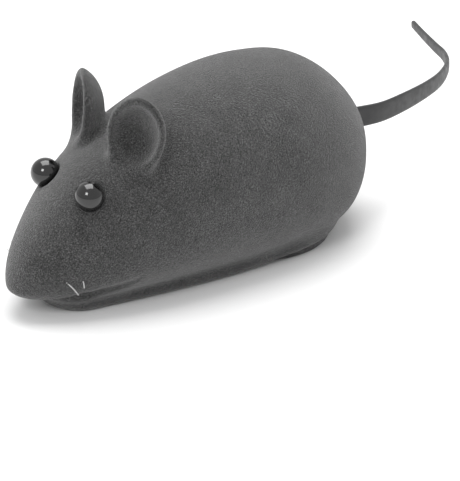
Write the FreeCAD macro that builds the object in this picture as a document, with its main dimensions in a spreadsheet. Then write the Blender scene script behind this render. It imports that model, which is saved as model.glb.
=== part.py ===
import FreeCAD, Part

import math
import os

import Sketcher

# A flocked soft-vinyl squeaking mouse, about life size, in millimetres.
# The origin is the centre of the flat foot face that the mouse stands on.
# +Z is up, the nose points to -X and the tail leaves towards +X.

Vector = FreeCAD.Vector
UP = Vector(0, 0, 1)
LEFT = -1
RIGHT = 1
SIDES = {"left": LEFT, "right": RIGHT}

# ---------------------------------------------------------------- driving sizes

SIZES = {
    # hollow body
    "body_length": 70.0,
    "nose_reach": 50.4,
    "wall": 1.2,
    # belly: a rim round a shallow hollow, and a round well for the foot
    "rim_bottom": 0.4,
    "rim_top": 8.0,
    "rim_radius": 13.5,
    "rim_bow_radius": 200.0,
    "jaw_radius": 7.0,
    "jaw_reach": 37.0,
    "rim_rounding": 1.2,
    "hollow_roof": 3.8,
    "hollow_half_width": 9.2,
    "hollow_front_radius": 4.3,
    "hollow_front_reach": 36.7,
    "well_radius": 12.6,
    "well_roof": 6.2,
    "air_hole_radius": 9.4,
    # ears
    "ear_width": 10.6,
    "ear_height": 13.2,
    "ear_cup_depth": 2.8,
    "ear_wall": 1.1,
    "ear_reach": 30.2,
    "ear_spread": 7.0,
    "ear_centre_height": 28.7,
    # eyes
    "eye_radius": 2.4,
    "eye_reach": 38.7,
    "eye_spread": 5.75,
    "eye_height": 20.1,
    "eye_stem_radius": 0.8,
    "eye_stem_length": 4.6,
    "eye_boss": 1.1,
    # whiskers
    "whisker_radius": 0.15,
    "whisker_length": 4.8,
    # foot disc
    "foot_radius": 12.0,
    "foot_thickness": 2.0,
    "foot_bead_inner": 10.9,
    "foot_bead_outer": 11.25,
    "foot_bead_groove": 0.25,
    "foot_bore": 2.9,
    "foot_recess": 4.3,
    "foot_web_start": 1.15,
    # folded wall between the foot and the body
    "bellows_outer": 11.2,
    "bellows_inner": 10.2,
    "bellows_waist_outer": 9.9,
    "bellows_waist_inner": 8.9,
    "bellows_waist_height": 4.1,
    "bellows_lip": 0.5,
    # squeaker
    "case_flange_radius": 3.88,
    "case_face": 0.35,
    "case_bore": 2.15,
    "case_top": 7.0,
    "grille_half_bar": 0.3,
    "grille_radius": 1.95,
    "grille_turn": 45.0,
    "seat_bottom": 1.6,
    "clamp_bottom": 5.9,
    "clamp_top": 6.6,
    "clamp_gap": 0.08,
    "seat_flat": 0.35,
    "channel_depth": 1.4,
    "channel_half_width": 0.6,
    "channel_top": 5.4,
    "reed_thickness": 0.12,
    "reed_width": 2.0,
    "reed_bottom": 1.9,
    # tail
    "tail_pivot": 20.4,
    "tail_height": 14.2,
    "tail_root_width": 3.8,
    "tail_tip_width": 1.4,
    "tail_thickness": 0.8,
    "tail_clearance": 0.05,
    "tail_tab_start": 17.6,
    "tail_bar_start": 16.9,
    "tail_bar_width": 3.0,
}

# The body from nose to rump: share of its length, half width, top and bottom.
STATIONS = (
    (0.0, 1.3, 7.6, 4.9),
    (0.03, 4.2, 11.2, 3.4),
    (0.10, 7.6, 17.0, 2.0),
    (0.20, 11.0, 22.5, 1.6),
    (0.32, 13.7, 26.7, 1.4),
    (0.46, 15.4, 29.9, 1.1),
    (0.60, 16.3, 31.5, 0.8),
    (0.74, 16.3, 31.0, 0.8),
    (0.87, 13.7, 27.9, 1.2),
    (0.93, 10.6, 24.2, 3.0),
    (0.975, 6.2, 19.3, 7.0),
    (1.0, 1.8, 15.0, 11.2),
)
STATION_SIZES = ("share", "half_width", "top", "bottom")
for index, station in enumerate(STATIONS):
    for name, amount in zip(STATION_SIZES, station):
        SIZES["station%d_%s" % (index, name)] = amount

# Steps down one side of a rib, where its widest line lies in its height, and how
# full it is across and in height: smaller powers of a circle are squarer.
RIB_STEPS = 10
BELT_SHARE = 0.41
ROUND_BACK = (0.9, 0.95)
SQUARE_BELLY = (0.85, 0.55)

# The tail's centre line behind its flex line: along X, Y and Z.
TAIL_ROUTE = (
    (26.3, -0.9, 14.0),
    (33.3, 0.7, 13.4),
    (41.6, 4.3, 12.1),
    (49.0, 8.9, 10.5),
    (56.7, 15.6, 8.4),
    (61.7, 21.7, 6.9),
    (65.3, 28.3, 5.7),
    (69.0, 35.3, 4.6),
    (72.5, 42.1, 3.7),
)

# Each whisker: the point where it leaves the skin on the right side, and its way.
WHISKERS = (
    ((-43.2, 7.5, 5.3), (-0.55, 0.15, 0.80)),
    ((-41.9, 8.2, 6.0), (-0.35, 0.50, 0.78)),
)
WHISKER_BURIED = 1.3

# ---------------------------------------------------------------- document and sheet

doc = FreeCAD.newDocument("flocked_mouse")
sheet = doc.addObject("Spreadsheet::Sheet", "dims")
for row, (name, amount) in enumerate(SIZES.items(), start=1):
    sheet.set("A%d" % row, name)
    sheet.set("B%d" % row, str(amount))
    sheet.setAlias("B%d" % row, name)
doc.recompute()


def size(name):
    """Read one driving size from the sheet."""
    return float(getattr(sheet, name))


def signed(word):
    """Tell whether a word of a formula is a sign."""
    return word in ("+", "-")


def total(formula):
    """Add up a formula of named sizes that are joined by + and -."""
    amount = 0.0
    direction = 1
    for word in formula.split():
        if signed(word):
            direction = 1 if word == "+" else -1
        elif word in SIZES:
            amount += direction * size(word)
        else:
            amount += direction * float(word)
    return amount


def linked(formula):
    """Write the same formula as an expression on the sheet."""
    words = []
    for word in formula.split():
        words.append("dims." + word if word in SIZES else word)
    return " ".join(words)


def bind(item, **links):
    """Bind properties of an object to formulas on the sheet."""
    for prop, formula in links.items():
        item.setExpression(prop, linked(formula))


def move(item, x="0", y="0", z="0"):
    """Bind an object's place to formulas on the sheet."""
    item.setExpression(".Placement.Base.x", linked(x))
    item.setExpression(".Placement.Base.y", linked(y))
    item.setExpression(".Placement.Base.z", linked(z))


# ---------------------------------------------------------------- sketch helpers

def new_body(name):
    """Start a sub-part that is modelled by features."""
    body = doc.addObject("PartDesign::Body", name)
    body.Label = name
    return body


def plane_of(body, role):
    """Find one of the body's own origin planes or axes."""
    for feature in body.Origin.OriginFeatures:
        if feature.Role == role:
            return feature
    raise ValueError(role)


def new_sketch(body, name, role):
    """Attach a sketch to one of the body's own planes."""
    sketch = body.newObject("Sketcher::SketchObject", name)
    sketch.AttachmentSupport = [(plane_of(body, role), "")]
    sketch.MapMode = "FlatFace"
    return sketch


def place_corner(sketch, line, corner, axis, formula):
    """Hold the start of a line at a distance from one sketch axis."""
    kind = "DistanceX" if axis == "x" else "DistanceY"
    held = Sketcher.Constraint(kind, -1, 1, line, 1, total(formula))
    number = sketch.addConstraint(held)
    name = "corner%d_%s" % (corner, axis)
    sketch.renameConstraint(number, name)
    sketch.setExpression("Constraints." + name, linked(formula))


def polygon(sketch, corners):
    """Close a polygon whose corners are pairs of formulas on the sheet."""
    points = [Vector(total(x), total(y), 0) for x, y in corners]
    count = len(points)
    for corner in range(count):
        after = (corner + 1) % count
        sketch.addGeometry(Part.LineSegment(points[corner], points[after]), False)
    for corner in range(count):
        after = (corner + 1) % count
        sketch.addConstraint(Sketcher.Constraint("Coincident", corner, 2, after, 1))
    for corner, (x, y) in enumerate(corners):
        place_corner(sketch, corner, corner, "x", x)
        place_corner(sketch, corner, corner, "y", y)


def turned_body(name, corners):
    """Turn a profile of (radius, height) corners about the Z axis."""
    body = new_body(name)
    sketch = new_sketch(body, name + "_profile", "XZ_Plane")
    polygon(sketch, corners)
    turned = body.newObject("PartDesign::Revolution", name + "_turned")
    turned.Profile = sketch
    turned.ReferenceAxis = (sketch, ["V_Axis"])
    turned.Angle = 360.0
    sketch.Visibility = False
    doc.recompute()
    return body


# ---------------------------------------------------------------- foot and bellows

def make_foot():
    """The flat disc underneath, with a bead at its edge and a seat for the squeaker."""
    return turned_body("foot_disc", (
        ("foot_bore", "foot_web_start"),
        ("foot_recess", "foot_web_start"),
        ("foot_recess", "0"),
        ("foot_bead_inner", "0"),
        ("foot_bead_inner", "foot_bead_groove"),
        ("foot_bead_outer", "foot_bead_groove"),
        ("foot_bead_outer", "0"),
        ("foot_radius", "0"),
        ("foot_radius", "foot_thickness"),
        ("foot_bore", "foot_thickness"),
    ))


def make_bellows():
    """The thin folded wall that lets the foot be pushed up into the body."""
    return turned_body("bellows_wall", (
        ("bellows_inner", "foot_thickness"),
        ("bellows_outer", "foot_thickness"),
        ("bellows_outer", "foot_thickness + bellows_lip"),
        ("bellows_waist_outer", "bellows_waist_height"),
        ("bellows_outer", "well_roof - bellows_lip"),
        ("bellows_outer", "well_roof"),
        ("bellows_inner", "well_roof"),
        ("bellows_inner", "well_roof - bellows_lip"),
        ("bellows_waist_inner", "bellows_waist_height"),
        ("bellows_inner", "foot_thickness + bellows_lip"),
    ))


# ---------------------------------------------------------------- squeaker

def cut_grille(body):
    """Cut four quarter openings through the case's floor, leaving a cross."""
    sketch = new_sketch(body, "grille_opening", "XY_Plane")
    bar = size("grille_half_bar")
    radius = size("grille_radius")
    reach = math.sqrt(radius ** 2 - bar ** 2)
    lean = math.atan2(bar, reach)
    centre = Vector(0, 0, 0)
    corner = Vector(bar, bar, 0)
    circle = Part.Circle(centre, UP, radius)
    sketch.addGeometry(Part.LineSegment(corner, Vector(reach, bar, 0)), False)
    sketch.addGeometry(Part.ArcOfCircle(circle, lean, math.pi / 2 - lean), False)
    sketch.addGeometry(Part.LineSegment(Vector(bar, reach, 0), corner), False)
    sketch.addConstraint(Sketcher.Constraint("Coincident", 0, 2, 1, 1))
    sketch.addConstraint(Sketcher.Constraint("Coincident", 1, 2, 2, 1))
    sketch.addConstraint(Sketcher.Constraint("Coincident", 2, 2, 0, 1))
    sketch.addConstraint(Sketcher.Constraint("Coincident", 1, 3, -1, 1))
    sketch.addConstraint(Sketcher.Constraint("Horizontal", 0))
    sketch.addConstraint(Sketcher.Constraint("Vertical", 2))
    number = sketch.addConstraint(Sketcher.Constraint("Radius", 1, radius))
    sketch.renameConstraint(number, "opening_radius")
    sketch.setExpression("Constraints.opening_radius", linked("grille_radius"))
    place_corner(sketch, 0, 0, "x", "grille_half_bar")
    place_corner(sketch, 0, 0, "y", "grille_half_bar")
    doc.recompute()
    before = body.Shape.Volume
    pocket = body.newObject("PartDesign::Pocket", "grille_pocket")
    pocket.Profile = sketch
    pocket.Type = "Length"
    pocket.Reversed = True
    bind(pocket, Length="foot_web_start")
    sketch.Visibility = False
    doc.recompute()
    ring = body.newObject("PartDesign::PolarPattern", "grille_ring")
    ring.Originals = [pocket]
    ring.Axis = (plane_of(body, "Z_Axis"), [""])
    ring.Angle = 360.0
    ring.Occurrences = 4
    body.Tip = ring
    doc.recompute()
    if body.Shape.Volume > before - 1.0:
        raise RuntimeError("the squeaker's grille was not cut")


def make_case():
    """The squeaker's case: a flange and barrel turned in one, with its grille."""
    body = turned_body("squeaker_case", (
        ("0", "case_face"),
        ("case_flange_radius", "case_face"),
        ("case_flange_radius", "foot_web_start"),
        ("foot_bore", "foot_web_start"),
        ("foot_bore", "case_top"),
        ("case_bore", "case_top"),
        ("case_bore", "foot_web_start"),
        ("0", "foot_web_start"),
    ))
    cut_grille(body)
    body.setExpression(".Placement.Rotation.Angle", linked("grille_turn"))
    return body


def block(name, corner, sizes):
    """A box from its lowest corner and its three sizes, all formulas."""
    box = doc.addObject("Part::Box", name)
    bind(box, Length=sizes[0], Width=sizes[1], Height=sizes[2])
    move(box, *corner)
    return box


def cylinder(name, radius, low, high):
    """An upright cylinder on the Z axis between two heights."""
    rod = doc.addObject("Part::Cylinder", name)
    bind(rod, Radius=radius, Height="%s - %s" % (high, low))
    move(rod, z=low)
    return rod


def combine(kind, name, base, tool):
    """Join or cut two objects of the document."""
    result = doc.addObject("Part::" + kind, name)
    result.Base = base
    result.Tool = tool
    result.Label = name
    return result


def make_seat():
    """The half-round seat that the reed beats on, with its air channel."""
    plug = cylinder("seat_plug", "case_bore", "seat_bottom", "clamp_top")
    front = block("seat_front", ("0 - clamp_gap", "0 - case_bore", "seat_bottom"),
                  ("case_bore + case_bore", "case_bore + case_bore",
                   "clamp_top - seat_bottom"))
    relief = block("seat_relief", ("0 - seat_flat", "0 - case_bore", "seat_bottom"),
                   ("case_bore", "case_bore + case_bore", "clamp_bottom - seat_bottom"))
    channel = block("seat_channel",
                    ("0 - channel_depth", "0 - channel_half_width", "seat_bottom"),
                    ("channel_depth", "channel_half_width + channel_half_width",
                     "channel_top - seat_bottom"))
    half = combine("Cut", "seat_half", plug, front)
    faced = combine("Cut", "seat_faced", half, relief)
    return combine("Cut", "squeaker_reed_seat", faced, channel)


def make_wedge():
    """The short plug that holds the reed's upper end against the seat."""
    plug = cylinder("wedge_plug", "case_bore", "clamp_bottom", "clamp_top")
    back = block("wedge_back",
                 ("clamp_gap - case_bore - case_bore", "0 - case_bore", "clamp_bottom"),
                 ("case_bore + case_bore", "case_bore + case_bore",
                  "clamp_top - clamp_bottom"))
    return combine("Cut", "squeaker_wedge", plug, back)


def make_reed():
    """The thin springy strip whose free end hangs beside the air channel."""
    reed = block("squeaker_reed", ("0", "0", "reed_bottom"),
                 ("reed_thickness", "reed_width", "clamp_top - reed_bottom"))
    reed.setExpression(".Placement.Base.x", "-dims.reed_thickness / 2")
    reed.setExpression(".Placement.Base.y", "-dims.reed_width / 2")
    reed.Label = "squeaker_reed"
    return reed


# ---------------------------------------------------------------- eyes and whiskers

EYE_INWARD = Vector(0.30, 0.45, -0.84)


def eye_centre(side):
    """Where one eye's bead is centred."""
    return Vector(-size("eye_reach"), side * size("eye_spread"), size("eye_height"))


def eye_way(side):
    """The way one eye's stem runs into the head."""
    return Vector(EYE_INWARD.x, -side * EYE_INWARD.y, EYE_INWARD.z)


def make_eye(name, side):
    """A round bead with a stem that plugs into the head."""
    bead = doc.addObject("Part::Sphere", name + "_bead")
    bind(bead, Radius="eye_radius")
    bead.Placement = FreeCAD.Placement(eye_centre(side), FreeCAD.Rotation())
    stem = doc.addObject("Part::Cylinder", name + "_stem")
    bind(stem, Radius="eye_stem_radius", Height="eye_stem_length")
    turn = FreeCAD.Rotation(UP, eye_way(side))
    stem.Placement = FreeCAD.Placement(eye_centre(side), turn)
    return combine("Fuse", name, bead, stem)


def make_whiskers(name, side):
    """A pair of short nylon strands set into the cheek, as one group."""
    strands = []
    for index, (root, way) in enumerate(WHISKERS):
        heading = Vector(way[0], side * way[1], way[2]).normalize()
        start = Vector(root[0], side * root[1], root[2]) - heading * WHISKER_BURIED
        strand = doc.addObject("Part::Cylinder", "%s_strand%d" % (name, index))
        bind(strand, Radius="whisker_radius", Height="whisker_length")
        strand.Placement = FreeCAD.Placement(start, FreeCAD.Rotation(UP, heading))
        strands.append(strand)
    group = doc.addObject("Part::Compound", name)
    group.Links = strands
    group.Label = name
    return group


# ---------------------------------------------------------------- tail

def make_tail_root():
    """The tab of the tail that is glued through the rump, with a bar inside."""
    low = "tail_height"
    tab = block("tail_tab", ("tail_tab_start", "0", low),
                ("tail_pivot - tail_tab_start", "tail_thickness", "tail_root_width"))
    tab.setExpression(".Placement.Base.y", "-dims.tail_thickness / 2")
    bar = block("tail_bar", ("tail_bar_start", "0", low),
                ("tail_tab_start - tail_bar_start", "tail_bar_width", "tail_root_width"))
    bar.setExpression(".Placement.Base.y", "-dims.tail_bar_width / 2")
    knuckle = doc.addObject("Part::Cylinder", "tail_knuckle")
    knuckle.setExpression("Radius", "dims.tail_thickness / 2")
    bind(knuckle, Height="tail_root_width")
    move(knuckle, x="tail_pivot")
    for piece in (tab, bar, knuckle):
        base = "dims.tail_height - dims.tail_root_width / 2"
        piece.setExpression(".Placement.Base.z", base)
    root = doc.addObject("Part::MultiFuse", "tail_root")
    root.Shapes = [tab, bar, knuckle]
    root.Label = "tail_root"
    return root


def strip_rib(point, heading, width, thickness):
    """One upright rectangle across the tail."""
    across = heading.cross(UP).normalize() * (thickness / 2)
    rise = across.cross(heading).normalize() * (width / 2)
    corners = [point + across + rise, point - across + rise,
               point - across - rise, point + across - rise]
    return Part.makePolygon(corners + corners[:1])


def make_tail():
    """The tapering strip behind the flex line, standing on edge."""
    pivot = Vector(size("tail_pivot"), 0, size("tail_height"))
    points = [pivot] + [Vector(*place) for place in TAIL_ROUTE]
    last = len(points) - 1
    ribs = []
    for index, point in enumerate(points):
        ahead = points[min(index + 1, last)]
        behind = points[max(index - 1, 0)]
        heading = (ahead - behind).normalize()
        share = (index / last) ** 0.8
        taper = size("tail_root_width") - size("tail_tip_width")
        width = size("tail_root_width") - share * taper
        ribs.append(strip_rib(point, heading, width, size("tail_thickness")))
    strip = Part.makeLoft(ribs, True, False)
    reach = size("tail_thickness") / 2 + size("tail_clearance")
    height = size("tail_root_width") * 2
    foot = pivot - UP * size("tail_root_width")
    strip = strip.cut(Part.makeCylinder(reach, height, foot, UP))
    tail = doc.addObject("Part::Feature", "tail")
    tail.Shape = strip
    tail.Placement = FreeCAD.Placement()
    tail.Label = "tail"
    return tail


# ---------------------------------------------------------------- hollow body

def bulge(amount, fullness):
    """Make a circle's sine or cosine fuller or leaner, keeping its sign."""
    return math.copysign(abs(amount) ** fullness, amount)


def half_rib(x, half_width, top, bottom, side):
    """One side of a section across the body, from its top to its bottom."""
    belt = bottom + BELT_SHARE * (top - bottom)
    points = []
    for step in range(RIB_STEPS + 1):
        angle = math.pi / 2 - math.pi * step / RIB_STEPS
        above = step <= RIB_STEPS / 2
        across_power, rise_power = ROUND_BACK if above else SQUARE_BELLY
        reach = top - belt if above else belt - bottom
        across = half_width * bulge(math.cos(angle), across_power)
        height = belt + reach * bulge(math.sin(angle), rise_power)
        points.append(Vector(x, side * across, height))
    outward = Vector(0, side, 0)
    curve = Part.BSplineCurve()
    curve.interpolate(Points=points, InitialTangent=outward, FinalTangent=-outward)
    return curve


def body_rib(x, half_width, top, bottom):
    """One closed section across the body."""
    right = half_rib(x, half_width, top, bottom, RIGHT).toShape()
    left = half_rib(x, half_width, top, bottom, LEFT)
    left.reverse()
    return Part.Wire([right, left.toShape()])


def body_solid(inset):
    """The body's rounded outside, or its hollow when it is inset by the wall."""
    length = size("body_length")
    nose = -size("nose_reach")
    middle = nose + length / 2
    shrink = (length - 2 * inset) / length
    ribs = []
    for index in range(len(STATIONS)):
        share, half_width, top, bottom = [
            size("station%d_%s" % (index, name)) for name in STATION_SIZES]
        x = middle + (nose + share * length - middle) * shrink
        kept = min(1, half_width / (3 * inset)) if inset else 0
        ribs.append(body_rib(x, half_width - inset * kept, top - inset * kept,
                             bottom + inset * kept))
    return Part.makeLoft(ribs, True, False)


def belly_outline(rear_radius, front_radius, front_reach, grow):
    """A closed outline of four arcs that run smoothly into each other.

    A rear arc about the foot's centre and a smaller front arc are joined by a
    long, slightly bowed arc down each side.
    """
    rear = rear_radius + grow
    front = front_radius + grow
    side = size("rim_bow_radius") + grow
    along = ((side - front) ** 2 - (side - rear) ** 2 - front_reach ** 2)
    along = along / (2 * front_reach)
    across = math.sqrt((side - rear) ** 2 - along ** 2)
    front_centre = Vector(-front_reach, 0, 0)
    bow_centre = Vector(along, across, 0)
    rear_touch = (-bow_centre).normalize() * rear
    front_touch = front_centre + (front_centre - bow_centre).normalize() * front
    chord = (rear_touch + front_touch) * 0.5 - bow_centre
    bow_middle = bow_centre + chord.normalize() * side
    corners = [rear_touch, bow_middle, front_touch]
    mirrored = [Vector(corner.x, -corner.y, 0) for corner in corners]
    tip = front_centre - Vector(front, 0, 0)
    edges = [
        Part.Arc(*corners).toShape(),
        Part.Arc(front_touch, tip, mirrored[2]).toShape(),
        Part.Arc(*reversed(mirrored)).toShape(),
        Part.Arc(mirrored[0], Vector(rear, 0, 0), rear_touch).toShape(),
    ]
    return Part.Face(Part.Wire(edges))


def rim_solid():
    """The rim that stands round the belly and round the foot."""
    face = belly_outline(size("rim_radius"), size("jaw_radius"), size("jaw_reach"), 0)
    low = size("rim_bottom")
    face.translate(Vector(0, 0, low))
    solid = face.extrude(UP * (size("rim_top") - low))
    lower = [edge for edge in solid.Edges
             if edge.BoundBox.ZMax < low + 0.01]
    return solid.makeFillet(size("rim_rounding"), lower)


def hollow_solid(grow):
    """The belly hollow and the foot's well, grown when they bound the inside."""
    face = belly_outline(size("hollow_half_width"), size("hollow_front_radius"),
                         size("hollow_front_reach"), grow)
    below = UP * -2
    face.translate(below)
    hollow = face.extrude(UP * (size("hollow_roof") + grow) - below)
    well = Part.makeCylinder(size("well_radius") + grow,
                             size("well_roof") + grow - below.z, below)
    return hollow.fuse(well)


def ear_cup(side):
    """One cupped ear, open forwards and outwards, as tall as it is given."""
    rim = size("ear_width") / 2
    depth = size("ear_cup_depth")
    outer = (rim ** 2 + depth ** 2) / (2 * depth)
    inner = outer - size("ear_wall")
    bowl = Part.makeSphere(outer).cut(Part.makeSphere(inner))
    span = 4 * outer
    cut_height = depth - outer
    above = Part.makeBox(span, span, span, Vector(-span / 2, -span / 2, cut_height))
    bowl = bowl.cut(above)
    bowl.translate(Vector(0, 0, -cut_height))
    stretch = FreeCAD.Matrix()
    stretch.scale(1, size("ear_height") / size("ear_width"), 1)
    bowl = bowl.transformGeometry(stretch)
    opening = Vector(-0.78, side * 0.60, 0.15).normalize()
    tall = Vector(0.10, side * 0.12, 1.0)
    width = tall.cross(opening).normalize()
    tall = opening.cross(width)
    turn = FreeCAD.Rotation(width, tall, opening, "ZXY")
    place = Vector(-size("ear_reach"), side * size("ear_spread"),
                   size("ear_centre_height"))
    bowl.Placement = FreeCAD.Placement(place, turn)
    return bowl


def eye_mount(side):
    """The thicker wall that holds one eye's bead and stem."""
    grow = size("eye_boss")
    bead = Part.makeSphere(size("eye_radius") + grow, eye_centre(side))
    stem = Part.makeCylinder(size("eye_stem_radius") + grow,
                             size("eye_stem_length") + grow,
                             eye_centre(side), eye_way(side))
    return bead.fuse(stem)


def make_shell(fitted):
    """The hollow moulded body, cut to take each fitted piece."""
    skin = body_solid(0).fuse(rim_solid())
    for side in SIDES.values():
        skin = skin.fuse(ear_cup(side))
    inside = body_solid(size("wall")).cut(hollow_solid(size("wall")))
    for side in SIDES.values():
        inside = inside.cut(eye_mount(side))
    shell = skin.cut(hollow_solid(0)).cut(inside)
    air_hole = Part.makeCylinder(size("air_hole_radius"), size("rim_top") * 2)
    shell = shell.cut(air_hole)
    for piece in fitted:
        shell = shell.cut(piece.Shape)
    body = doc.addObject("Part::Feature", "body_shell")
    body.Shape = max(shell.Solids, key=lambda solid: solid.Volume)
    body.Placement = FreeCAD.Placement()
    body.Label = "body_shell"
    return body


# ---------------------------------------------------------------- assembly

make_foot()
make_bellows()
make_case()
make_seat()
make_wedge()
make_reed()
embedded = [make_tail_root()]
for word, side in SIDES.items():
    embedded.append(make_eye("eye_" + word, side))
    make_whiskers("whiskers_" + word, side)
make_tail()
doc.recompute()
make_shell(embedded)
doc.recompute()

NODES = (
    "body_shell", "bellows_wall", "foot_disc",
    "eye_left", "eye_right", "whiskers_left", "whiskers_right",
    "tail_root", "tail",
    "squeaker_case", "squeaker_reed_seat", "squeaker_reed", "squeaker_wedge",
)

for item in doc.Objects:
    if "Invalid" in item.State or "Error" in item.State:
        raise RuntimeError("%s is %s" % (item.Name, item.State))

os.makedirs("parts", exist_ok=True)
for node in NODES:
    shape = doc.getObjectsByLabel(node)[0].Shape
    if shape.isNull() or not shape.isValid():
        raise RuntimeError("%s has no valid shape" % node)
    shape.exportStep("parts/%s.step" % node)
    print("%-20s solids %d  volume %.2f" % (node, len(shape.Solids), shape.Volume))
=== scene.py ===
import math

import bpy
import numpy as np
from mathutils import Matrix, Vector


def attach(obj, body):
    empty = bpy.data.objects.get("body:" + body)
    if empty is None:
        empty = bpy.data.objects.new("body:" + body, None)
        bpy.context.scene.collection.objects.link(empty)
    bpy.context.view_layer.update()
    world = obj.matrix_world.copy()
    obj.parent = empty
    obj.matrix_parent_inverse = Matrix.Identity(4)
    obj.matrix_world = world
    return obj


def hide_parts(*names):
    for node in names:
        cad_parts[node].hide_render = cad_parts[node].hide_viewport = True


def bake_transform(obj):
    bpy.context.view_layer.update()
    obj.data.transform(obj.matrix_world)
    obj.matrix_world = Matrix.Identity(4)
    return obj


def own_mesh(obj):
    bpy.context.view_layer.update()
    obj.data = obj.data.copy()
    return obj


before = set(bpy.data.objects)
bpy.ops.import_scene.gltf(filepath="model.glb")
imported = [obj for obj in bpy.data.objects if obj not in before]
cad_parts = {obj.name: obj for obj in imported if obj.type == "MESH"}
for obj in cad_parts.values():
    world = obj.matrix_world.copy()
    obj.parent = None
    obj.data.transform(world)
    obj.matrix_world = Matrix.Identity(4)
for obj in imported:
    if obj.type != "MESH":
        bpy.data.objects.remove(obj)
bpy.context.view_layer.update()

# A flocked squeaking mouse. Shapes are worked out in millimetres and made in metres.
# The origin is the middle of the foot disc's face, +Z is up and the nose is at -X.
MM = 0.001
SIDES = {"left": -1, "right": 1}


# ---------------------------------------------------------------- small maths

def lengths(*parts):
    """The length of a vector given by its parts."""
    return np.sqrt(sum(part * part for part in parts))


def smooth_curve(knots, values, at):
    """A smooth curve through a few values, held level past its ends."""
    knots = np.asarray(knots, float)
    values = np.asarray(values, float)
    slopes = np.gradient(values, knots)
    at = np.clip(at, knots[0], knots[-1])
    low = np.clip(np.searchsorted(knots, at) - 1, 0, len(knots) - 2)
    span = knots[low + 1] - knots[low]
    t = (at - knots[low]) / span
    return ((1 + 2 * t) * (1 - t) ** 2 * values[low]
            + t * (1 - t) ** 2 * span * slopes[low]
            + t * t * (3 - 2 * t) * values[low + 1]
            - t * t * (1 - t) * span * slopes[low + 1])


def join(a, b, soft):
    """Join two solids' fields, with a fillet about as wide as soft."""
    h = np.clip(0.5 + 0.5 * (b - a) / soft, 0, 1)
    return b * (1 - h) + a * h - soft * h * (1 - h)


def carve(a, b, soft):
    """Cut solid b out of solid a, with a rounded edge about as wide as soft."""
    return -join(-a, b, soft)


def tapered_outline(across, ahead, rear_radius, front_radius, reach):
    """Signed distance, seen from above, to two circles joined by straight sides."""
    across = np.abs(across)
    lean = (rear_radius - front_radius) / reach
    rise = math.sqrt(1 - lean * lean)
    along = -lean * across + rise * ahead
    rear = lengths(across, ahead) - rear_radius
    front = lengths(across, ahead - reach) - front_radius
    side = rise * across + lean * ahead - rear_radius
    return np.where(along < 0, rear, np.where(along > rise * reach, front, side))


def rounded_slab(outline, z, low, high, rounding):
    """A slab of some outline between two heights, with rounded edges."""
    sideways = outline + rounding
    upright = np.abs(z - (low + high) / 2) - (high - low) / 2 + rounding
    outside = lengths(np.maximum(sideways, 0), np.maximum(upright, 0))
    return np.minimum(np.maximum(sideways, upright), 0) + outside - rounding


def tapered_tube(x, y, z, stops):
    """Distance to a bent tube through (x, y, z, radius) stops."""
    nearest = np.full(x.shape, 1e9)
    for start, end in zip(stops[:-1], stops[1:]):
        way = np.subtract(end[:3], start[:3])
        offset = (x - start[0], y - start[1], z - start[2])
        along = sum(part * step for part, step in zip(offset, way)) / way.dot(way)
        along = np.clip(along, 0, 1)
        gap = lengths(*(part - along * step for part, step in zip(offset, way)))
        radius = start[3] + along * (end[3] - start[3])
        nearest = np.minimum(nearest, gap - radius)
    return nearest


# ---------------------------------------------------------------- the body's shape

BODY_LENGTH = 70.0
NOSE = -50.4
EYE_RADIUS = 2.4
EYE_CENTRE = (-38.7, 5.75, 20.1)
FOOT_RADIUS = 12.0
WELL_RADIUS = 12.6
WELL_ROOF = 6.2
AIR_HOLE_RADIUS = 9.4
AIR_HOLE_ROOF = 12.0
SOCKET_GAP = 0.12
BELOW_ALL = -6.0

# The rim round the belly, and the hollow inside it.
RIM_RADIUS = 13.3
RIM_FRONT_RADIUS = 6.6
RIM_REACH = 37.0
RIM_BOTTOM = 0.4
RIM_TOP = 5.0
RIM_LIFT_AT = (-13, -6, 0, 6)
RIM_LIFT = (0, 0.5, 1.1, 1.5)
RIM_BOW = 0.6
BOW_START = 6
BOW_LENGTH = 31
CREASE_RADIUS = 0.75
CREASE_OUT = 1.0
CREASE_HEIGHT = 0.5
HOLLOW_RADIUS = 9.2
HOLLOW_FRONT_RADIUS = 4.3
HOLLOW_REACH = 36.7
HOLLOW_ROOF = 3.8

# Along the body: share of its length, half width, height above and below the
# widest line, each as on a round-ended body, and the height of the widest line.
STATIONS = (
    (0.00, 11.3, 12.0, 8.4, 5.6),
    (0.03, 11.7, 12.9, 8.9, 6.6),
    (0.10, 12.7, 14.6, 10.2, 8.1),
    (0.20, 13.9, 15.4, 10.7, 10.2),
    (0.32, 14.7, 15.9, 11.0, 11.8),
    (0.46, 15.5, 17.0, 11.8, 12.9),
    (0.60, 16.6, 18.5, 12.9, 13.3),
    (0.74, 18.6, 20.4, 14.2, 13.2),
    (0.87, 20.4, 22.6, 16.2, 12.9),
    (0.96, 20.6, 21.5, 16.0, 13.0),
    (1.00, 20.6, 21.0, 15.6, 13.1),
)
ROUND_BACK = 2.15
SQUARE_BELLY = 2.7
SIZE_OF_FIELD = 14.0


def core_field(x, y, z):
    """The egg-shaped body and head, without ears or belly."""
    table = np.array(STATIONS)
    share = (x - NOSE) / BODY_LENGTH
    width, above, below, belt = [
        smooth_curve(table[:, 0], table[:, column], share) for column in range(1, 5)]
    rise = z - belt
    upper = rise > 0
    power = np.where(upper, ROUND_BACK, SQUARE_BELLY)
    height = np.where(upper, above, below)
    section = (np.abs(y / width) ** power + np.abs(rise / height) ** power) ** (1 / power)
    return (lengths(2 * share - 1, section) - 1) * SIZE_OF_FIELD


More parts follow.
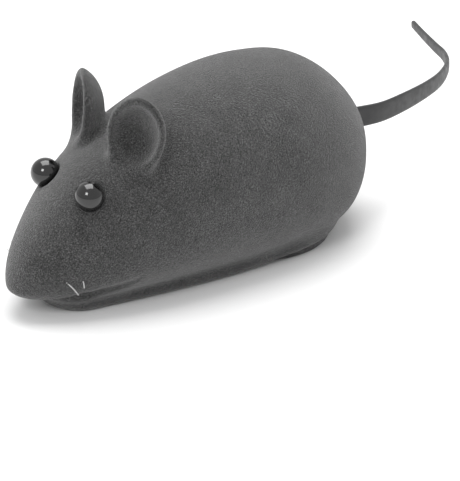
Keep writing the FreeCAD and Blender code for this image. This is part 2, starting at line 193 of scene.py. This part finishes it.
EAR_CENTRE = (-30.4, 7.1, 28.2)
EAR_OPENING = Vector((-0.88, 0.45, 0.12)).normalized()
EAR_TALL = Vector((0.06, 0.16, 1.0))
EAR_WIDTH = 10.2
EAR_HEIGHT = 13.4
EAR_DEPTH = 3.2
EAR_THICKNESS = 1.15
EAR_NARROWING_AT = (-8, -3, 2, 7)
EAR_NARROWING = (0.74, 0.92, 1.0, 0.98)


def ear_axes():
    """The right ear's own width, height and opening directions."""
    width = EAR_TALL.cross(EAR_OPENING).normalized()
    tall = EAR_OPENING.cross(width)
    return width, tall, EAR_OPENING


def ear_place(x, y, z):
    """A point in the right ear's own axes: across, up and out of the cup."""
    offset = (x - EAR_CENTRE[0], y - EAR_CENTRE[1], z - EAR_CENTRE[2])
    return [sum(part * axis[i] for i, part in enumerate(offset)) for axis in ear_axes()]


def ear_field(x, y, z):
    """A cupped ear: part of a hollow ball with a rounded lip, narrower at its root."""
    across, up, out = ear_place(x, y, z)
    tall = EAR_HEIGHT / EAR_WIDTH
    narrowing = smooth_curve(EAR_NARROWING_AT, EAR_NARROWING, up)
    across = across / narrowing
    up = up / tall
    rim = EAR_WIDTH / 2 - EAR_THICKNESS / 2
    ball = (rim ** 2 + EAR_DEPTH ** 2) / (2 * EAR_DEPTH)
    lift = ball - EAR_DEPTH
    radial = lengths(across, up)
    out = out - lift
    height = -out
    lip = lengths(radial - rim, height - lift)
    wall = np.abs(lengths(radial, height) - ball)
    near_lip = lift * radial >= rim * height
    return np.where(near_lip, lip, wall) - EAR_THICKNESS / 2


# The mouth gap's (x, y, z, radius) stops, from the cheek to the middle.
MOUTH = (
    (-33.2, 12.0, 6.3, 0.15),
    (-35.6, 10.6, 5.0, 0.8),
    (-38.4, 8.9, 4.1, 1.15),
    (-41.6, 7.0, 3.6, 1.2),
    (-44.6, 4.9, 2.9, 1.1),
    (-46.4, 2.4, 2.4, 1.1),
    (-46.9, 0.0, 2.3, 1.1),
)


def belly_outline(x, y, rear_radius, front_radius, reach):
    """An outline round the belly whose long sides bow outwards a little."""
    bow = RIM_BOW * np.sin(np.clip((-x - BOW_START) / BOW_LENGTH, 0, 1) * math.pi)
    return tapered_outline(y, -x, rear_radius, front_radius, reach) - bow


def body_field(x, y, z):
    """The whole moulded body. y is taken as its distance from the middle plane."""
    y = np.abs(y)
    field = core_field(x, y, z)
    field = join(field, ear_field(x, y, z), 2.2)
    outer = belly_outline(x, y, RIM_RADIUS, RIM_FRONT_RADIUS, RIM_REACH)
    lift = smooth_curve(RIM_LIFT_AT, RIM_LIFT, x)
    field = join(field, rounded_slab(outer, z - lift, RIM_BOTTOM, RIM_TOP, 0.6), 1.2)
    crease = lengths(outer - CREASE_OUT, z - lift - CREASE_HEIGHT) - CREASE_RADIUS
    field = carve(field, crease, 0.6)
    inner = belly_outline(x, y, HOLLOW_RADIUS, HOLLOW_FRONT_RADIUS, HOLLOW_REACH)
    field = carve(field, rounded_slab(inner, z, BELOW_ALL, HOLLOW_ROOF, 0.8), 0.5)
    well = lengths(x, y) - WELL_RADIUS
    field = carve(field, rounded_slab(well, z, BELOW_ALL, WELL_ROOF, 0.3), 0.25)
    air_hole = lengths(x, y) - AIR_HOLE_RADIUS
    field = carve(field, rounded_slab(air_hole, z, 0.0, AIR_HOLE_ROOF, 0.3), 0.2)
    field = carve(field, tapered_tube(x, y, z, MOUTH), 0.7)
    eye = lengths(x - EYE_CENTRE[0], y - EYE_CENTRE[1], z - EYE_CENTRE[2])
    return carve(field, eye - EYE_RADIUS - SOCKET_GAP, 0.35)


# ---------------------------------------------------------------- from field to mesh

CUBE_CORNERS = [(i, j, k) for i in (0, 1) for j in (0, 1) for k in (0, 1)]
CUBE_EDGES = [(a, b) for a in CUBE_CORNERS for b in CUBE_CORNERS
              if sum(b) == sum(a) + 1 and all(q >= p for p, q in zip(a, b))]


def shifted(grid, corner):
    """The grid's values at one corner of every cell."""
    return grid[tuple(slice(c, c - 1 if c < 1 else None) for c in corner)]


def surface_net(grid, lowest, step):
    """Vertices and faces of the surface where a grid of field values is zero."""
    inside = grid < 0
    filled = sum(shifted(inside, corner).astype(np.int8) for corner in CUBE_CORNERS)
    mixed = (filled > 0) & (filled < 8)
    cells = np.argwhere(mixed)
    total = np.zeros(cells.shape)
    crossings = np.zeros(len(cells))
    for a, b in CUBE_EDGES:
        start = shifted(grid, a)[mixed]
        end = shifted(grid, b)[mixed]
        crosses = (start < 0) != (end < 0)
        gap = np.where(crosses, start - end, 1)
        t = np.where(crosses, start / gap, 0)
        point = np.array(a) + t[:, None] * np.subtract(b, a)
        total += point * crosses[:, None]
        crossings += crosses
    vertices = lowest + step * (cells + total / crossings[:, None])
    number = np.full(mixed.shape, -1)
    number[mixed] = np.arange(len(cells))
    faces = []
    for axis in range(3):
        u, v = [other for other in range(3) if other != axis]
        ahead = np.roll(inside, -1, axis)
        changes = inside != ahead
        keep = [slice(1, -1)] * 3
        keep[axis] = slice(0, -1)
        edge = np.argwhere(changes[tuple(keep)])
        edge += [0 if direction == axis else 1 for direction in range(3)]
        ring = []
        for du, dv in ((-1, -1), (0, -1), (0, 0), (-1, 0)):
            cell = edge.copy()
            cell[:, u] += du
            cell[:, v] += dv
            ring.append(number[tuple(cell.T)])
        quads = np.stack(ring, 1)
        starts_inside = inside[tuple(edge.T)]
        flip = starts_inside if axis == 1 else ~starts_inside
        quads[flip] = quads[flip][:, ::-1]
        faces.append(quads)
    return vertices, np.concatenate(faces)


def new_mesh(name, vertices, faces):
    """A smooth-shaded mesh object from vertices in millimetres."""
    mesh = bpy.data.meshes.new(name)
    mesh.from_pydata((np.asarray(vertices, float) * MM).tolist(), [],
                     [tuple(int(corner) for corner in face) for face in faces])
    mesh.validate()
    mesh.shade_smooth()
    piece = bpy.data.objects.new(name, mesh)
    bpy.context.scene.collection.objects.link(piece)
    return piece


def grid_mesh(name, field, low, high, step):
    """Mesh the zero surface of a field that is the same left and right."""
    x = np.arange(low[0], high[0] + step, step)
    y = np.arange(0.0, high[1] + step, step) + step / 2
    z = np.arange(low[2], high[2] + step, step)
    values = field(*np.meshgrid(x, y, z, indexing="ij"))
    values = np.concatenate([values[:, ::-1], values], axis=1)
    lowest = np.array([x[0], -y[-1], z[0]])
    vertices, faces = surface_net(values, lowest, step)
    return new_mesh(name, vertices, faces)


# ---------------------------------------------------------------- materials

def new_material(name, base, roughness, **sockets):
    """A Principled material with constant values on its own sockets."""
    material = bpy.data.materials.new(name)
    material.use_nodes = True
    shader = material.node_tree.nodes["Principled BSDF"]
    shader.inputs["Base Color"].default_value = (*base, 1)
    shader.inputs["Roughness"].default_value = roughness
    for socket, value in sockets.items():
        shader.inputs[socket.replace("_", " ")].default_value = value
    return material


class Nodes:
    """A short way to add and link a material's nodes."""

    def __init__(self, material):
        self.tree = material.node_tree
        self.shader = self.tree.nodes["Principled BSDF"]
        self.place = self.add("ShaderNodeTexCoord").outputs["Object"]

    def add(self, kind, **values):
        node = self.tree.nodes.new(kind)
        for name, value in values.items():
            setattr(node, name, value)
        return node

    def link(self, output, socket):
        self.tree.links.new(output, socket)

    def noise(self, size_mm, detail=2.0, rough=0.5):
        """Noise whose grains are about this many millimetres across."""
        node = self.add("ShaderNodeTexNoise")
        node.inputs["Scale"].default_value = 1 / (size_mm * MM)
        node.inputs["Detail"].default_value = detail
        node.inputs["Roughness"].default_value = rough
        self.link(self.place, node.inputs["Vector"])
        return node.outputs["Fac"]

    def ramp(self, source, *stops):
        """A ramp through (place, brightness) stops."""
        node = self.add("ShaderNodeValToRGB")
        elements = node.color_ramp.elements
        while len(elements) < len(stops):
            elements.new(0.5)
        for element, (place, bright) in zip(elements, stops):
            element.position = place
            element.color = (bright, bright, bright, 1)
        self.link(source, node.inputs["Fac"])
        return node.outputs["Color"]

    def multiply(self, a, b):
        """The product of two colours."""
        node = self.add("ShaderNodeMix", data_type="RGBA", blend_type="MULTIPLY")
        node.inputs["Factor"].default_value = 1.0
        self.link(a, node.inputs[6])
        self.link(b, node.inputs[7])
        return node.outputs[2]

    def bump(self, height, strength, depth_mm):
        node = self.add("ShaderNodeBump")
        node.inputs["Strength"].default_value = strength
        node.inputs["Distance"].default_value = depth_mm * MM
        self.link(height, node.inputs["Height"])
        self.link(node.outputs["Normal"], self.shader.inputs["Normal"])


def flock_material(name, dark, light):
    """Short dense flock: fine speckle, softer patches and a pale bloom at edges."""
    material = new_material(name, (0.06, 0.06, 0.06), 0.95,
                            Sheen_Weight=0.55, Sheen_Roughness=0.45,
                            Specular_IOR_Level=0.15)
    nodes = Nodes(material)
    nodes.shader.inputs["Sheen Tint"].default_value = (0.85, 0.85, 0.85, 1)
    grain = nodes.noise(0.22, detail=3.0, rough=0.7)
    speckle = nodes.ramp(grain, (0.36, dark), (0.52, (dark + light) / 3), (0.68, light))
    patches = nodes.noise(3.5, detail=2.0)
    shade = nodes.ramp(patches, (0.3, 0.72), (0.7, 1.0))
    colour = nodes.multiply(speckle, shade)
    nodes.link(colour, nodes.shader.inputs["Base Color"])
    nodes.bump(grain, 0.9, 0.35)
    return material


def add_gloss_variation(material, size_mm, low, high, depth_mm):
    """Slight unevenness in a moulded surface: its polish and its level vary."""
    nodes = Nodes(material)
    wave = nodes.noise(size_mm, detail=3.0)
    nodes.link(nodes.ramp(wave, (0.3, low), (0.7, high)),
               nodes.shader.inputs["Roughness"])
    nodes.bump(wave, 0.5, depth_mm)
    return material


FLOCK = flock_material("flock", 0.012, 0.16)
DISC_FLOCK = flock_material("disc_flock", 0.010, 0.11)
BLACK_VINYL = add_gloss_variation(
    new_material("bare_vinyl", (0.012, 0.012, 0.012), 0.6), 1.5, 0.5, 0.7, 0.03)
TAIL_VINYL = add_gloss_variation(
    new_material("tail_vinyl", (0.035, 0.035, 0.036), 0.5), 1.2, 0.42, 0.62, 0.03)
BEAD_BLACK = add_gloss_variation(
    new_material("bead_black", (0.004, 0.004, 0.004), 0.1, Coat_Weight=0.6,
                 Coat_Roughness=0.04), 2.0, 0.07, 0.16, 0.004)
NYLON = new_material("nylon", (0.75, 0.75, 0.75), 0.3, Transmission_Weight=0.35)
GREY_PLASTIC = add_gloss_variation(
    new_material("grey_plastic", (0.33, 0.33, 0.335), 0.45), 0.8, 0.38, 0.55, 0.02)
BRASS = add_gloss_variation(
    new_material("reed_brass", (0.55, 0.40, 0.16), 0.3, Metallic=1.0), 0.6, 0.2, 0.4, 0.005)

# ---------------------------------------------------------------- pieces


def lathe(name, profile, turns=96):
    """Turn a closed (radius, height) outline about the Z axis."""
    count = len(profile)
    vertices = []
    faces = []
    for turn in range(turns):
        angle = 2 * math.pi * turn / turns
        for radius, height in profile:
            vertices.append((radius * math.cos(angle), radius * math.sin(angle), height))
        after = (turn + 1) % turns
        for i in range(count):
            j = (i + 1) % count
            faces.append((turn * count + i, after * count + i,
                          after * count + j, turn * count + j))
    return new_mesh(name, vertices, faces)


def rounded(corners, radius, steps=4):
    """Round each corner of a closed outline with a small arc."""
    path = []
    count = len(corners)
    for i in range(count):
        before, corner, after = (Vector(corners[(i + k) % count]) for k in (-1, 0, 1))
        inward = (before - corner).normalized()
        outward = (after - corner).normalized()
        reach = min(radius, (before - corner).length * 0.45, (after - corner).length * 0.45)
        for step in range(steps + 1):
            t = step / steps
            a = corner + inward * reach * (1 - t)
            b = corner + outward * reach * t
            path.append(tuple(a.lerp(b, t)))
    return path


def ball(name, centre, radius, rings=48, turns=64):
    """A smooth closed ball with single pole vertices."""
    centre = Vector(centre)
    vertices = [centre + Vector((0, 0, -radius))]
    for ring in range(1, rings):
        lift = -math.pi / 2 + math.pi * ring / rings
        for turn in range(turns):
            angle = 2 * math.pi * turn / turns
            vertices.append(centre + radius * Vector((
                math.cos(lift) * math.cos(angle), math.cos(lift) * math.sin(angle),
                math.sin(lift))))
    vertices.append(centre + Vector((0, 0, radius)))
    last = len(vertices) - 1
    first_top = last - turns
    faces = []
    for turn in range(turns):
        after = (turn + 1) % turns
        faces.append((0, 1 + after, 1 + turn))
        for ring in range(rings - 2):
            low = 1 + ring * turns
            faces.append((low + turn, low + after, low + turns + after, low + turns + turn))
        faces.append((first_top + turn, first_top + after, last))
    return new_mesh(name, vertices, faces)


def tube_along(path, radii, turns=8):
    """Vertices and faces of a closed round tube along a path."""
    path = [Vector(point) for point in path]
    vertices = []
    faces = []
    last = len(path) - 1
    for i, point in enumerate(path):
        heading = (path[min(i + 1, last)] - path[max(i - 1, 0)]).normalized()
        across = heading.orthogonal().normalized()
        rise = heading.cross(across)
        for turn in range(turns):
            angle = 2 * math.pi * turn / turns
            vertices.append(point + radii[i] * (across * math.cos(angle)
                                                + rise * math.sin(angle)))
    for i in range(last):
        for turn in range(turns):
            after = (turn + 1) % turns
            faces.append((i * turns + turn, i * turns + after,
                          (i + 1) * turns + after, (i + 1) * turns + turn))
    faces.append(tuple(range(turns - 1, -1, -1)))
    faces.append(tuple(last * turns + turn for turn in range(turns)))
    return vertices, faces


def finish_piece(piece, material, rides_on, slot, *stands_for):
    """Give a piece its material and its CAD body; slot is not used."""
    piece.data.materials.clear()
    piece.data.materials.append(material)
    if rides_on:
        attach(piece, rides_on)
    if stands_for:
        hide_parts(*stands_for)
    return piece


# The box in which the body's field is worked out, and its step.
FIELD_LOW = (-51.5, 0, -0.6)
FIELD_HIGH = (20.6, 17.6, 36.4)
FIELD_STEP = 0.34


def make_body():
    """The flocked body and head in one skin."""
    piece = grid_mesh("body_skin", body_field, FIELD_LOW, FIELD_HIGH, FIELD_STEP)
    finish_piece(piece, FLOCK, "mouse", "flocked_vinyl", "body_shell")


def make_eyes():
    """Round black beads, half sunk in their sockets."""
    for word, side in SIDES.items():
        centre = (EYE_CENTRE[0], side * EYE_CENTRE[1], EYE_CENTRE[2])
        piece = ball("bead_" + word, centre, EYE_RADIUS)
        finish_piece(piece, BEAD_BLACK, "mouse", "black_bead", "eye_" + word)


SEAT_RADIUS = 2.95
RECESS_RADIUS = 4.3
RECESS_DEPTH = 1.2
FOOT_THICKNESS = 2.0
GROOVE = ((10.9, 0.05), (11.05, 0.22), (11.3, 0.22), (11.45, 0.0))


def make_foot():
    """The flocked disc: a groove inside its edge bead, and a recess for the squeaker."""
    profile = rounded([(SEAT_RADIUS, RECESS_DEPTH), (RECESS_RADIUS, RECESS_DEPTH),
                       (RECESS_RADIUS, 0.0), *GROOVE, (FOOT_RADIUS, 0.0),
                       (FOOT_RADIUS, FOOT_THICKNESS), (SEAT_RADIUS, FOOT_THICKNESS)], 0.3)
    finish_piece(lathe("foot_pad", profile), DISC_FLOCK, "foot", "flocked_vinyl",
                 "foot_disc")


BELLOWS_BOTTOM = 2.05
BELLOWS_OUTSIDE = 11.2
BELLOWS_INSIDE = 10.2
FOLD_START = 2.5
FOLD_MIDDLE = 4.1
FOLD_END = 5.7
FOLD_OUTSIDE = 9.9
FOLD_INSIDE = 8.9


def make_bellows():
    """The thin folded wall above the foot, made at rest; the real wall flattens as the foot
    goes in.
    """
    profile = rounded([(BELLOWS_INSIDE, BELLOWS_BOTTOM), (BELLOWS_OUTSIDE, BELLOWS_BOTTOM),
                       (BELLOWS_OUTSIDE, FOLD_START), (FOLD_OUTSIDE, FOLD_MIDDLE),
                       (BELLOWS_OUTSIDE, FOLD_END), (BELLOWS_OUTSIDE, WELL_ROOF),
                       (BELLOWS_INSIDE, WELL_ROOF), (BELLOWS_INSIDE, FOLD_END),
                       (FOLD_INSIDE, FOLD_MIDDLE), (BELLOWS_INSIDE, FOLD_START)], 0.4)
    piece = finish_piece(lathe("folded_wall", profile), BLACK_VINYL, "mouse",
                         "bare_vinyl", "bellows_wall")
    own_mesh(piece)


# Each whisker's root, its heading and its free length, on the right side.
WHISKERS = (
    ((-43.0, 7.4, 5.3), (-0.55, 0.15, 0.80), 3.6),
    ((-41.9, 8.0, 5.9), (-0.35, 0.50, 0.78), 3.3),
)
WHISKER_BURIED = 0.8
WHISKER_RADIUS = 0.14
WHISKER_TAPER = 0.06
WHISKER_DROOP = Vector((-0.25, 0, -0.35))
WHISKER_STEPS = 8


def make_whiskers():
    """Two short nylon strands a side, bending a little as they leave the cheek."""
    for word, side in SIDES.items():
        vertices = []
        faces = []
        for root, way, length in WHISKERS:
            heading = Vector((way[0], side * way[1], way[2])).normalized()
            start = Vector((root[0], side * root[1], root[2])) - heading * WHISKER_BURIED
            path = []
            radii = []
            for step in range(WHISKER_STEPS + 1):
                t = step / WHISKER_STEPS
                droop = WHISKER_DROOP * t * t
                path.append(start + heading * (length + WHISKER_BURIED) * t + droop)
                radii.append(WHISKER_RADIUS - WHISKER_TAPER * t)
            tube = tube_along(path, radii)
            faces += [tuple(index + len(vertices) for index in face) for face in tube[1]]
            vertices += tube[0]
        piece = new_mesh("whisker_pair_" + word, vertices, faces)
        finish_piece(piece, NYLON, "mouse", "clear_nylon", "whiskers_" + word)


TAIL_ROOT = (17.6, 0.0, 14.2)
TAIL_PIVOT = (20.4, 0.0, 14.2)
TAIL_ROUTE = (
    TAIL_ROOT,
    TAIL_PIVOT,
    (26.3, -0.9, 14.0),
    (33.3, 0.7, 13.4),
    (41.6, 4.3, 12.1),
    (49.0, 8.9, 10.5),
    (56.7, 15.6, 8.4),
    (61.7, 21.7, 6.9),
    (65.3, 28.3, 5.7),
    (69.0, 35.3, 4.6),
    (72.4, 41.8, 3.75),
)
TAIL_WIDTHS = (3.8, 3.8, 3.6, 3.4, 3.0, 2.7, 2.3, 2.0, 1.8, 1.6, 1.4)
TAIL_THICKNESS = 0.8
TAIL_STEPS = 120


def make_tail():
    """One tapering strip on edge, from inside the slit to its tip."""
    knots = np.arange(len(TAIL_ROUTE))
    route = np.array(TAIL_ROUTE)
    at = np.linspace(0, len(TAIL_ROUTE) - 1, TAIL_STEPS + 1)
    line = np.stack([smooth_curve(knots, route[:, axis], at) for axis in range(3)], 1)
    widths = smooth_curve(knots, TAIL_WIDTHS, at)
    section = rounded([(-1, -1), (1, -1), (1, 1), (-1, 1)], 0.7, steps=3)
    count = len(section)
    vertices = []
    faces = []
    last = len(line) - 1
    for i, point in enumerate(line):
        heading = Vector(line[min(i + 1, last)] - line[max(i - 1, 0)]).normalized()
        across = heading.cross(Vector((0, 0, 1))).normalized()
        rise = across.cross(heading)
        for u, v in section:
            vertices.append(Vector(point) + across * u * TAIL_THICKNESS / 2
                            + rise * v * widths[i] / 2)
    for i in range(last):
        for j in range(count):
            k = (j + 1) % count
            faces.append((i * count + j, i * count + k,
                          (i + 1) * count + k, (i + 1) * count + j))
    faces.append(tuple(range(count - 1, -1, -1)))
    faces.append(tuple(last * count + j for j in range(count)))
    piece = new_mesh("tail_strip", vertices, faces)
    finish_piece(piece, TAIL_VINYL, None, "tail_vinyl", "tail", "tail_root")
    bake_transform(piece)


def finish_cad_nodes():
    """Materials for the squeaker's own pieces, which keep their CAD shapes."""
    looks = {"squeaker_case": GREY_PLASTIC, "squeaker_reed_seat": GREY_PLASTIC,
             "squeaker_wedge": GREY_PLASTIC, "squeaker_reed": BRASS}
    for name, material in looks.items():
        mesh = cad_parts[name].data
        mesh.materials.clear()
        mesh.materials.append(material)


make_body()
make_eyes()
make_foot()
make_bellows()
make_whiskers()
make_tail()
finish_cad_nodes()

# ---------------------------------------------------------------- camera, light, floor

AIM = Vector((-22.0, 0.0, 13.0)) * MM
AZIMUTH = math.radians(37.87)
ELEVATION = math.radians(25.41)
ROLL = math.radians(-1.04)
DISTANCE = 0.594
LENS = 276.4
OFF_CENTRE = Vector((0.0213, -0.0122))
FLOOR_HALF = 3.0
WORLD_BRIGHTNESS = 0.75


def add_camera():
    """A long lens ahead of the mouse and to its left, a little above it."""
    forward = Vector((math.sin(AZIMUTH) * math.cos(ELEVATION),
                      math.cos(AZIMUTH) * math.cos(ELEVATION), -math.sin(ELEVATION)))
    right = Vector((math.cos(AZIMUTH), -math.sin(AZIMUTH), 0))
    up = right.cross(forward)
    place = AIM - forward * DISTANCE
    rolled_right = right * math.cos(ROLL) + up * math.sin(ROLL)
    rolled_up = up * math.cos(ROLL) - right * math.sin(ROLL)
    forward = forward + rolled_right * OFF_CENTRE.x + rolled_up * OFF_CENTRE.y
    forward.normalize()
    right = forward.cross(rolled_up).normalized()
    up = right.cross(forward)
    data = bpy.data.cameras.new("camera")
    data.lens = LENS
    data.sensor_width = 36.0
    data.clip_start = 0.01
    data.clip_end = 20.0
    camera = bpy.data.objects.new("camera", data)
    axes = Matrix((right, up, -forward)).transposed().to_4x4()
    camera.matrix_world = Matrix.Translation(place) @ axes
    bpy.context.scene.collection.objects.link(camera)
    bpy.context.scene.camera = camera


def add_area_light(name, place, target, size, power):
    """A square soft light that faces a point."""
    data = bpy.data.lights.new(name, "AREA")
    data.size = size
    data.energy = power
    light = bpy.data.objects.new(name, data)
    light.location = place
    facing = Vector(target) - Vector(place)
    light.rotation_euler = facing.to_track_quat("-Z", "Y").to_euler()
    bpy.context.scene.collection.objects.link(light)


def add_floor():
    """A wide pale floor at the height of the foot's face."""
    mesh = bpy.data.meshes.new("floor")
    corners = [(x * FLOOR_HALF, y * FLOOR_HALF, 0)
               for x, y in ((-1, -1), (1, -1), (1, 1), (-1, 1))]
    mesh.from_pydata(corners, [], [(0, 1, 2, 3)])
    floor = bpy.data.objects.new("floor", mesh)
    mesh.materials.append(new_material("pale_floor", (0.9, 0.9, 0.9), 0.8))
    bpy.context.scene.collection.objects.link(floor)


def set_world(brightness):
    """An even white surround."""
    world = bpy.data.worlds.new("surround")
    world.use_nodes = True
    background = world.node_tree.nodes["Background"]
    background.inputs["Color"].default_value = (1, 1, 1, 1)
    background.inputs["Strength"].default_value = brightness
    bpy.context.scene.world = world


add_camera()
add_floor()
set_world(WORLD_BRIGHTNESS)
add_area_light("overhead", place=(0.05, 0.12, 0.55), target=(-0.01, 0, 0.01),
               size=0.45, power=2.6)
add_area_light("window", place=(-0.42, -0.18, 0.38), target=(-0.02, 0, 0.015),
               size=0.16, power=0.8)
bpy.context.scene.view_settings.view_transform = "Standard"
